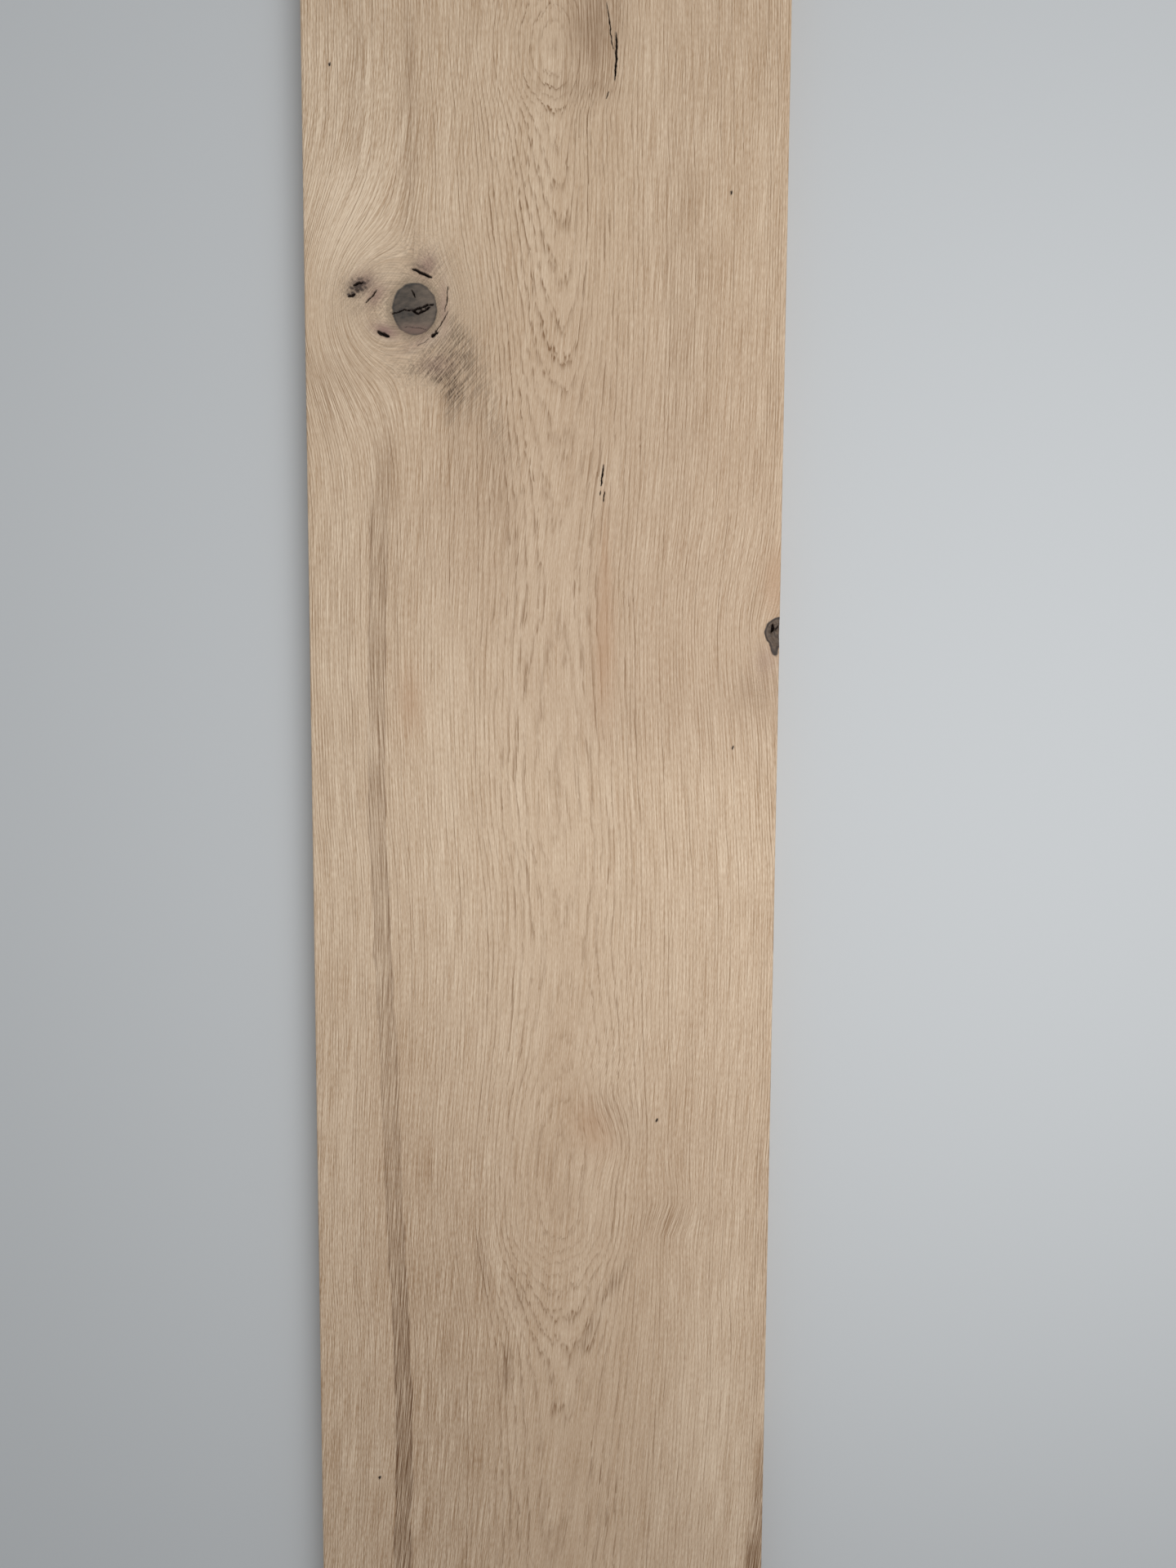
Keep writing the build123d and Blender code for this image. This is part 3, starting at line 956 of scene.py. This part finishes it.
# %% [markdown]
# Close round a knot the fibres dive into the face and end there, so the threads become specks. The heart
# of the round knot is old grey wood in fine layers; the knot in the edge is nearly black, with lines that
# follow its rim. Both colours come from how far inside the rim a point is, and the rims are made uneven
# first.

# %% Knots
SPECK_TONE = 0.9  # share of the brightness
RIM_WOBBLE = 1.4  # mm
RIM_BLUR = (-0.3, 0.5)  # mm, from the wood outside a rim to the knot's own
SLAB = (3.5, 1.8, 5)  # mm, the heart's layers
SLAB_TURN = math.radians(12)
LAYER = 0.8  # mm, width of the lines that follow a rim

specks = add_node(wood, "ShaderNodeMath", {0: pattern["speck"], 1: 0.5}, operation="SUBTRACT").outputs[0]
specks = add_node(wood, "ShaderNodeMath", {0: specks, 1: painted["dive"]}, operation="MULTIPLY").outputs[0]
speck_light = add_node(wood, "ShaderNodeMath", {
    0: specks, 1: SPECK_TONE, 2: 1.0,
}, operation="MULTIPLY_ADD").outputs[0]
colour = add_node(wood, "ShaderNodeVectorMath", {
    0: colour, "Scale": speck_light,
}, operation="SCALE").outputs[0]

slab_sizes = add_node(wood, "ShaderNodeMapping", {
    "Vector": on_board.outputs["Object"], "Rotation": (0, 0, SLAB_TURN),
    "Scale": [size * MM for size in SLAB],
}, vector_type="TEXTURE")
slabs = add_node(wood, "ShaderNodeTexNoise", {"Vector": slab_sizes.outputs[0], "Scale": 1.0, "Detail": 3.0})
shades = add_node(wood, "ShaderNodeMapRange", {
    "Value": slabs.outputs["Fac"], "From Min": 0.25, "From Max": 0.75, "To Min": -0.25, "To Max": 0.25,
}).outputs[0]
heart_tone = add_node(wood, "ShaderNodeMath", {0: painted["ash"], 1: shades}, operation="ADD").outputs[0]

rim_tone = add_node(wood, "ShaderNodeTexNoise", {
    "W": painted["edge_heart"], "Scale": 1 / LAYER, "Detail": 2.0,
}, noise_dimensions="1D").outputs["Fac"]
rim_tone = add_node(wood, "ShaderNodeMath", {
    0: rim_tone, 1: slabs.outputs["Fac"],
}, operation="MULTIPLY").outputs[0]
rim_tone = add_node(wood, "ShaderNodeMapRange", {
    "Value": rim_tone, "From Min": 0.05, "From Max": 0.48,
}).outputs[0]
outline = add_node(wood, "ShaderNodeMapRange", {
    "Value": painted["edge_heart"], "From Min": 0.5, "From Max": 1.3,
}).outputs[0]
rim_tone = add_node(wood, "ShaderNodeMath", {0: rim_tone, 1: outline}, operation="MULTIPLY").outputs[0]

# Darker and lighter wood of each knot, and the tone between them
KNOT_WOOD = {
    "heart": (linear("35302b"), linear("7a6b5d"), heart_tone),
    "edge_heart": (linear("30231b"), linear("7a6756"), rim_tone),
}
for name, (dark, light, knot_tone) in KNOT_WOOD.items():
    inside = add_node(wood, "ShaderNodeMath", {
        0: pattern["smear"], 1: RIM_WOBBLE, 2: painted[name],
    }, operation="MULTIPLY_ADD").outputs[0]
    in_knot = add_node(wood, "ShaderNodeMapRange", {
        "Value": inside, "From Min": RIM_WOBBLE / 2 + RIM_BLUR[0], "From Max": RIM_WOBBLE / 2 + RIM_BLUR[1],
    }, interpolation_type="SMOOTHSTEP").outputs[0]
    knot_wood = add_node(wood, "ShaderNodeMix", {
        0: knot_tone, 6: dark, 7: light,
    }, data_type="RGBA").outputs[2]
    colour = add_node(wood, "ShaderNodeMix", {
        0: in_knot, 6: colour, 7: knot_wood,
    }, data_type="RGBA").outputs[2]
# Rust in the heart, then one near-black brown for the bark in the pockets and the painted shade inside the
# splits
for name, over in (("rust", "7b6156"), ("bark_and_split_shade", "2a1b15")):
    colour = add_node(wood, "ShaderNodeMix", {
        0: painted[name], 6: colour, 7: linear(over),
    }, data_type="RGBA").outputs[2]
print(len(KNOT_WOOD), "knots")

# %% [markdown]
# The board's ends were crosscut by a saw. End grain drinks in light and dirt, so it is darker, and the
# saw's teeth leave fine lines across it. The way a face looks, in the board's own frame, tells the ends
# from the sides.

# %% Sawn ends
END_TONE = 0.66  # share of the brightness
END_VARIES = 0.08
SAW_MARK = 1.3  # mm between the marks of the saw's teeth
SAW_STROKE = 90  # mm, length of one mark
SAW_TILT = math.radians(12)

facing = add_node(wood, "ShaderNodeSeparateXYZ", {0: on_board.outputs["Normal"]})
end_grain = add_node(wood, "ShaderNodeMath", {0: facing.outputs["Y"]}, operation="ABSOLUTE").outputs[0]
end_grain = add_node(wood, "ShaderNodeMapRange", {
    "Value": end_grain, "From Min": 0.6, "From Max": 0.8,
}).outputs[0]
saw_lines = add_node(wood, "ShaderNodeMapping", {
    "Vector": on_board.outputs["Object"], "Rotation": (0, SAW_TILT, 0),
    "Scale": (SAW_MARK * MM, 1.0, SAW_STROKE * MM),
}, vector_type="TEXTURE")
saw_marks = add_node(wood, "ShaderNodeTexNoise", {
    "Vector": saw_lines.outputs[0], "Scale": 1.0, "Detail": 1.0,
})
end_light = add_node(wood, "ShaderNodeMapRange", {
    "Value": saw_marks.outputs["Fac"], "From Min": 0.3, "From Max": 0.7,
    "To Min": END_TONE - END_VARIES, "To Max": END_TONE + END_VARIES,
}).outputs[0]
end_colour = add_node(wood, "ShaderNodeVectorMath", {
    0: colour, "Scale": end_light,
}, operation="SCALE").outputs[0]
colour = add_node(wood, "ShaderNodeMix", {
    0: end_grain, 6: colour, 7: end_colour,
}, data_type="RGBA").outputs[2]
wood.links.new(colour, shader.inputs["Base Color"])
print("ends at", END_TONE, "of the brightness")

# %% [markdown]
# Brushing pulls the soft spring wood out a little deeper than the summer wood, and leaves the vessels as
# open grooves. That is less than a tenth of a millimetre, too fine for the net, so the shader's bump gives
# it. The summer wood is also a little smoother, so it has slightly more sheen.

# %% Relief and sheen
HEIGHTS = ((vessels, -0.08), (spring_wood, -0.04), (pattern["fibre"], 0.04))  # mm

relief = 0.0
for socket, height in HEIGHTS:
    relief = add_node(wood, "ShaderNodeMath", {
        0: socket, 1: height, 2: relief,
    }, operation="MULTIPLY_ADD").outputs[0]
bump = add_node(wood, "ShaderNodeBump", {"Height": relief, "Distance": MM, "Strength": 1.0})
wood.links.new(bump.outputs["Normal"], shader.inputs["Normal"])
sheen = add_node(wood, "ShaderNodeMapRange", {"Value": spring_wood, "To Min": 0.6, "To Max": 0.75})
wood.links.new(sheen.outputs[0], shader.inputs["Roughness"])
plank_mesh.materials.append(oak)
print(len(wood.nodes), "nodes in the oak")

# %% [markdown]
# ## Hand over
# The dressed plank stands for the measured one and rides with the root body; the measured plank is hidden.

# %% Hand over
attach(plank, "root")
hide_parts("oak_plank")

bpy.context.view_layer.update()
